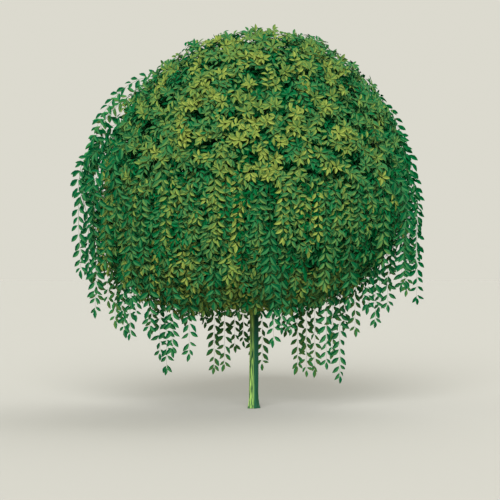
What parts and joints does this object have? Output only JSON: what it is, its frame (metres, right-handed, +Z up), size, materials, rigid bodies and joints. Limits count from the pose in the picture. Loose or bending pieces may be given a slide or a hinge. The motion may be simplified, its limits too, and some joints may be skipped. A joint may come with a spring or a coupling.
{
  "type": "weeping willow tree",
  "caption": "Small weeping willow tree: a straight grafted trunk under a broad dome of leafy shoots that hang to knee height all round.",
  "frame": {"origin": "middle of the flat cut under the trunk, at ground level", "axes": "+Z up along the trunk, +X to the right and -Y to the front as the tree is usually seen"},
  "size_m": [2.6639, 2.6254, 2.894],
  "materials": {
    "bark": "olive green-grey willow bark with fine upright fissures, rough",
    "leaves": "soft green willow leaves with a paler midrib, semi-matt"
  },
  "bodies": {
    "root": {"bough_01": "bark", "bough_02": "bark", "bough_03": "bark", "bough_04": "bark", "bough_05": "bark", "bough_06": "bark", "crown_top": "leaves", "dome_mass_01": "leaves", "dome_mass_02": "leaves", "dome_mass_03": "leaves", "dome_mass_04": "leaves", "dome_mass_05": "leaves", "shoulder_mass_01": "leaves", "shoulder_mass_02": "leaves", "shoulder_mass_03": "leaves", "shoulder_mass_04": "leaves", "shoulder_mass_05": "leaves", "shoulder_mass_06": "leaves", "shoulder_mass_07": "leaves", "side_mass_01": "leaves", "side_mass_02": "leaves", "side_mass_03": "leaves", "side_mass_04": "leaves", "side_mass_05": "leaves", "side_mass_06": "leaves", "side_mass_07": "leaves", "side_mass_08": "leaves", "tassel_01": "leaves", "tassel_02": "leaves", "tassel_03": "leaves", "tassel_04": "leaves", "tassel_05": "leaves", "tassel_06": "leaves", "tassel_07": "leaves", "tassel_08": "leaves", "tassel_09": "leaves", "tassel_10": "leaves", "tassel_11": "leaves", "tassel_12": "leaves", "tassel_13": "leaves", "tassel_14": "leaves", "tassel_15": "leaves", "tassel_16": "leaves", "tassel_17": "leaves", "tassel_18": "leaves", "tassel_19": "leaves", "tassel_20": "leaves", "tassel_21": "leaves", "tassel_22": "leaves", "tassel_23": "leaves", "tassel_24": "leaves", "trunk": "bark", "under_mass_01": "leaves", "under_mass_02": "leaves", "under_mass_03": "leaves", "under_mass_04": "leaves", "under_mass_05": "leaves", "under_mass_06": "leaves", "under_mass_07": "leaves", "under_mass_08": "leaves"}
  },
  "joints": []
}
